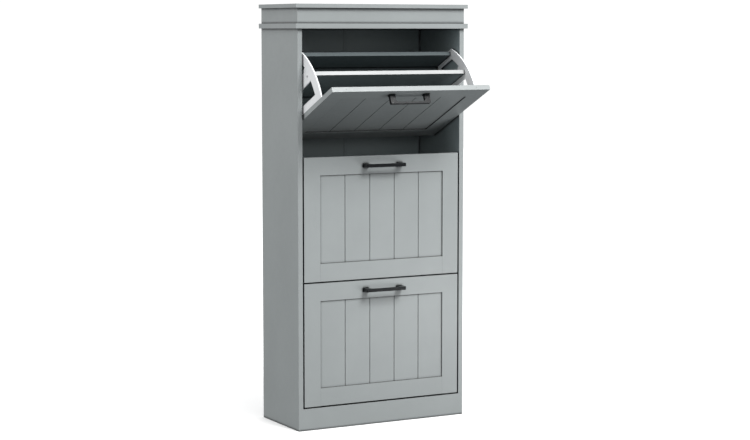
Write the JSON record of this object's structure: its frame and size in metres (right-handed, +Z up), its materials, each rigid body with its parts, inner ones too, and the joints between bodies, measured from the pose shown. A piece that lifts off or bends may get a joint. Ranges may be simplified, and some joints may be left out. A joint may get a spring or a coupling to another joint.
{
  "type": "shoe cabinet",
  "caption": "Tall narrow shoe cabinet with tilt-out flaps: framed and planked doors on plastic side plates, each with two-pocket shoe holders, plinth and moulded top.",
  "frame": {"origin": "middle of the underside of the front plinth rail, halfway through its thickness, on the floor", "axes": "+X to the right seen from the front, +Y to the back, +Z up"},
  "size_m": [0.598, 0.4463, 1.3],
  "materials": {
    "painted_carcass": "satin grey paint on board",
    "painted_door": "satin grey paint on board",
    "holder_board": "satin grey melamine",
    "back_board": "matt slate hardboard",
    "white_plastic": "fine grained moulded plastic",
    "black_handle": "matt black powder coat",
    "steel": "zinc plated",
    "dowel_wood": "raw beech"
  },
  "bodies": {
    "cabinet": {"top_cap": "painted_carcass", "frieze_front": "painted_carcass", "frieze_left": "painted_carcass", "frieze_right": "painted_carcass", "frieze_back": "painted_carcass", "moulding_board": "painted_carcass", "side_panel_left": "painted_carcass", "side_panel_right": "painted_carcass", "plinth_front": "painted_carcass", "plinth_back": "painted_carcass", "bottom_panel": "painted_carcass", "back_panel_left": "back_board", "back_panel_right": "back_board", "back_joiner": "back_board", "stretcher_upper": "painted_carcass", "stretcher_lower": "painted_carcass", "pivot_pins": "white_plastic", "stop_pins": "steel", "dowels": "dowel_wood", "back_nails": "steel"},
    "upper_flap": {"upper_stile_left": "painted_door", "upper_stile_right": "painted_door", "upper_rail_top": "painted_door", "upper_rail_bottom": "painted_door", "upper_panel": "painted_door", "upper_handle": "black_handle", "upper_plate_left": "white_plastic", "upper_plate_right": "white_plastic", "upper_divider": "holder_board", "upper_floor_front": "holder_board", "upper_floor_rear": "holder_board", "upper_rear_board": "holder_board", "upper_screws": "steel"},
    "middle_flap": {"middle_stile_left": "painted_door", "middle_stile_right": "painted_door", "middle_rail_top": "painted_door", "middle_rail_bottom": "painted_door", "middle_panel": "painted_door", "middle_handle": "black_handle", "middle_plate_left": "white_plastic", "middle_plate_right": "white_plastic", "middle_divider": "holder_board", "middle_floor_front": "holder_board", "middle_floor_rear": "holder_board", "middle_rear_board": "holder_board", "middle_screws": "steel"},
    "lower_flap": {"lower_stile_left": "painted_door", "lower_stile_right": "painted_door", "lower_rail_top": "painted_door", "lower_rail_bottom": "painted_door", "lower_panel": "painted_door", "lower_handle": "black_handle", "lower_plate_left": "white_plastic", "lower_plate_right": "white_plastic", "lower_divider": "holder_board", "lower_floor_front": "holder_board", "lower_floor_rear": "holder_board", "lower_rear_board": "holder_board", "lower_screws": "steel"}
  },
  "joints": [
    {"name": "upper_tilt", "type": "hinge", "parent": "cabinet", "child": "upper_flap", "pos_m": [0, 0.03717, 0.9825], "axis": [1, 0, 0], "range_deg": [-65.5, 0]},
    {"name": "middle_tilt", "type": "hinge", "parent": "cabinet", "child": "middle_flap", "pos_m": [0, 0.03717, 0.598], "axis": [1, 0, 0], "range_deg": [0, 65.5]},
    {"name": "lower_tilt", "type": "hinge", "parent": "cabinet", "child": "lower_flap", "pos_m": [0, 0.03717, 0.2135], "axis": [1, 0, 0], "range_deg": [0, 65.5]}
  ]
}
